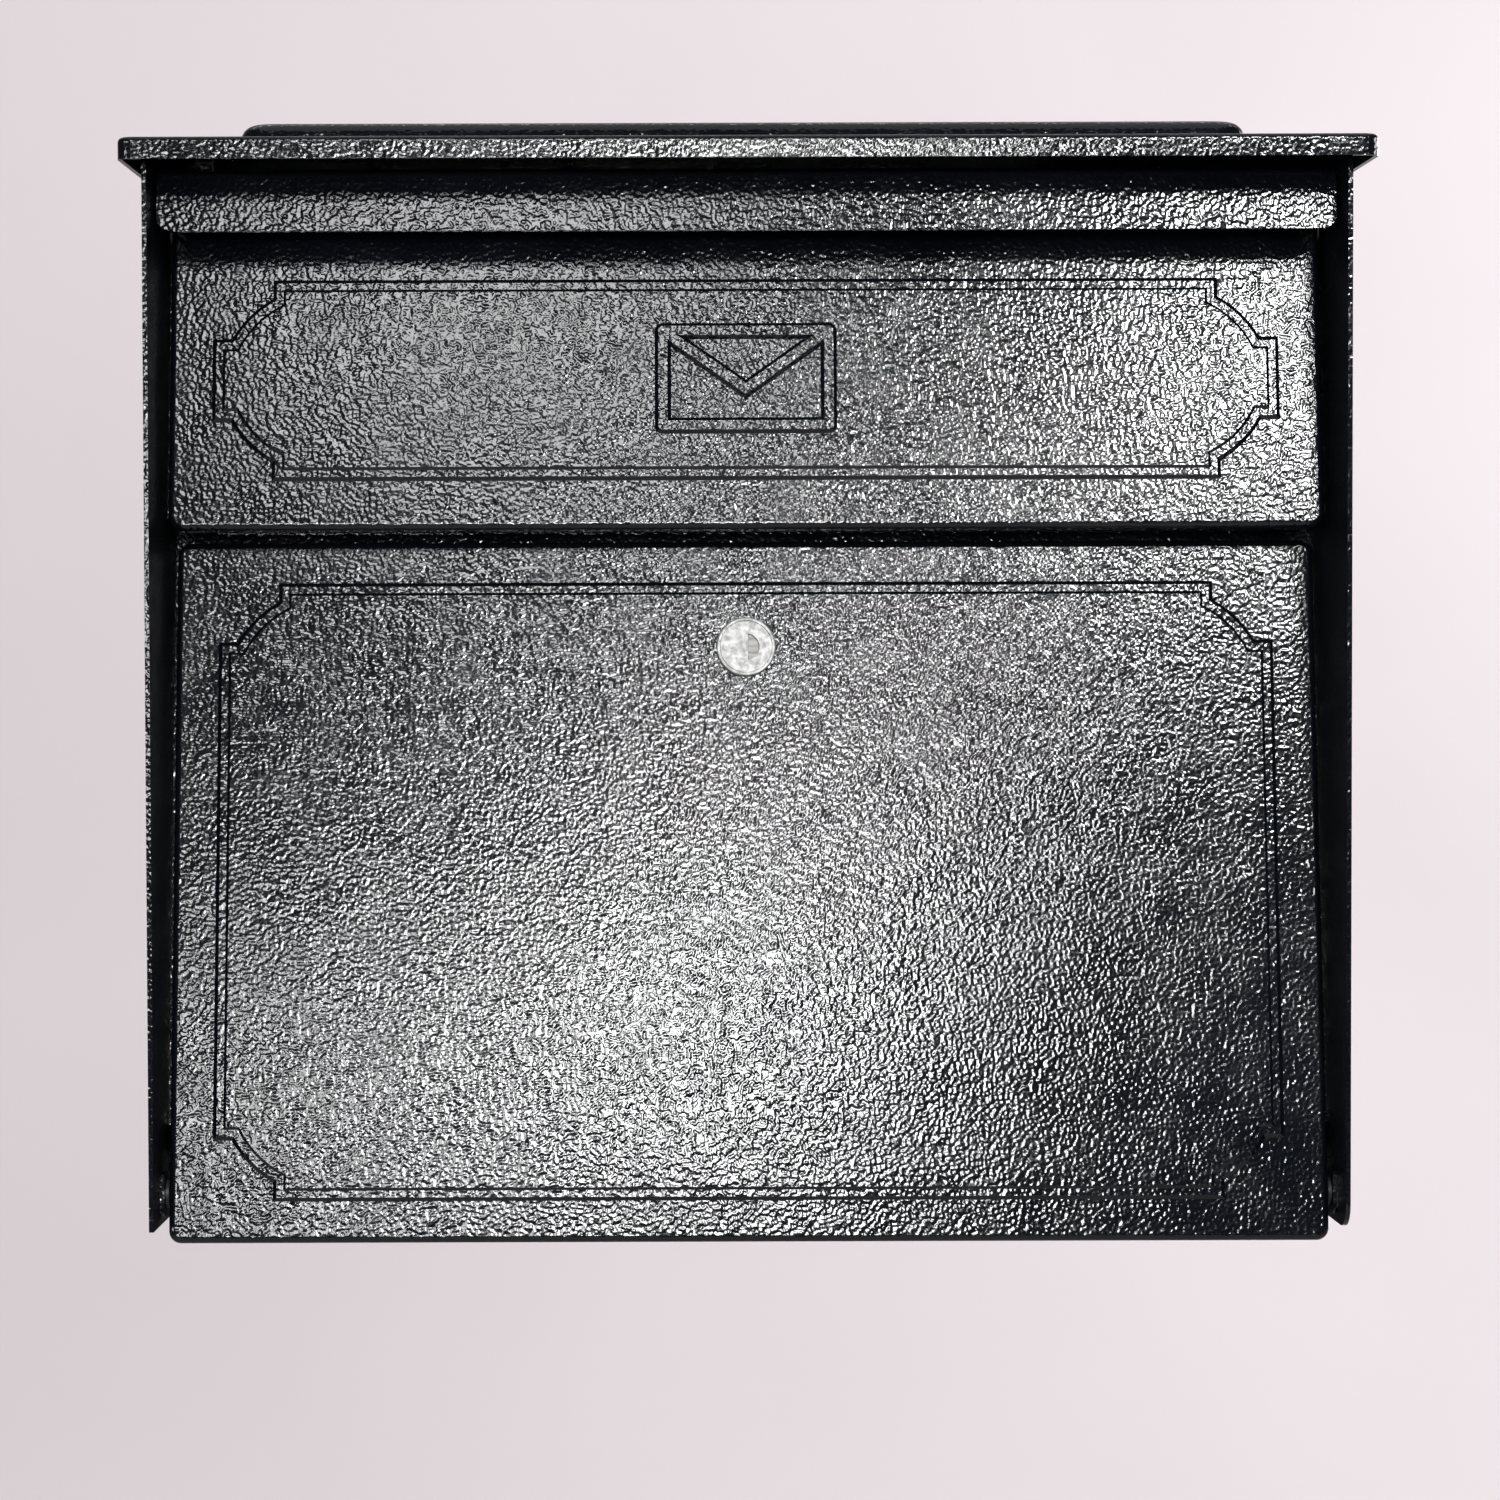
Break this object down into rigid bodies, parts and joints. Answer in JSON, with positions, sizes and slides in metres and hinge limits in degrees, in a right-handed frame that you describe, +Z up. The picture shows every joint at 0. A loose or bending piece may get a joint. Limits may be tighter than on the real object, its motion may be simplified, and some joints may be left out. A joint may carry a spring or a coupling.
{
  "type": "wall mailbox",
  "caption": "Locking wall mailbox in black hammered sheet steel, with a sloping roof, a top-hinged mail flap and a bottom-hinged access door with a cam lock.",
  "frame": {"origin": "centre of the wall holes, on the back face", "axes": "+X to the right as the box is faced, +Y into the wall, +Z up"},
  "size_m": [0.4, 0.1649, 0.3763],
  "materials": {
    "hammered_black": "glossy black hammered powder coat",
    "plated_steel": "dull dark zinc plating",
    "lock_zinc": "satin die-cast zinc, lightly worn",
    "bumper_rubber": "matte",
    "washer_nylon": "black nylon"
  },
  "bodies": {
    "box": {"back_panel": "hammered_black", "left_side_panel": "hammered_black", "right_side_panel": "hammered_black", "floor_panel": "hammered_black", "roof_cap": "hammered_black", "valance": "hammered_black", "slot_frame": "hammered_black", "cross_rail": "hammered_black", "left_jamb": "hammered_black", "right_jamb": "hammered_black", "security_baffle": "hammered_black", "flap_hinge_brackets": "hammered_black", "flap_hinge_rod": "plated_steel", "rod_push_nuts": "plated_steel", "flap_bumpers": "bumper_rubber", "door_hinge_brackets": "hammered_black", "door_hinge_pins": "plated_steel", "door_hinge_washers": "washer_nylon", "door_hinge_clips": "plated_steel", "door_bumpers": "bumper_rubber"},
    "flap": {"mail_flap": "hammered_black"},
    "door": {"access_door": "hammered_black", "lock_body": "lock_zinc", "lock_nut": "plated_steel"},
    "plug": {"lock_plug": "lock_zinc", "lock_cam": "plated_steel", "cam_screw": "plated_steel"},
    "shutter": {"keyway_shutter": "plated_steel"}
  },
  "joints": [
    {"name": "flap_hinge", "type": "hinge", "parent": "box", "child": "flap", "pos_m": [0, -0.10833, 0.16192], "axis": [-1, 0, 0], "range_deg": [0, 55]},
    {"name": "door_hinge", "type": "hinge", "parent": "box", "child": "door", "pos_m": [0, -0.12367, -0.15622], "axis": [1, 0, 0], "range_deg": [0, 105]},
    {"name": "lock_turn", "type": "hinge", "parent": "door", "child": "plug", "pos_m": [0, -0.11188, 0.02283], "axis": [0, 0.9945, -0.1045], "range_deg": [0, 90]},
    {"name": "shutter_push", "type": "slide", "parent": "plug", "child": "shutter", "axis": [0, 0.9945, -0.1045], "range_m": [0, 0.003], "stiffness_N_per_m": 30, "springref_m": -0.004}
  ]
}
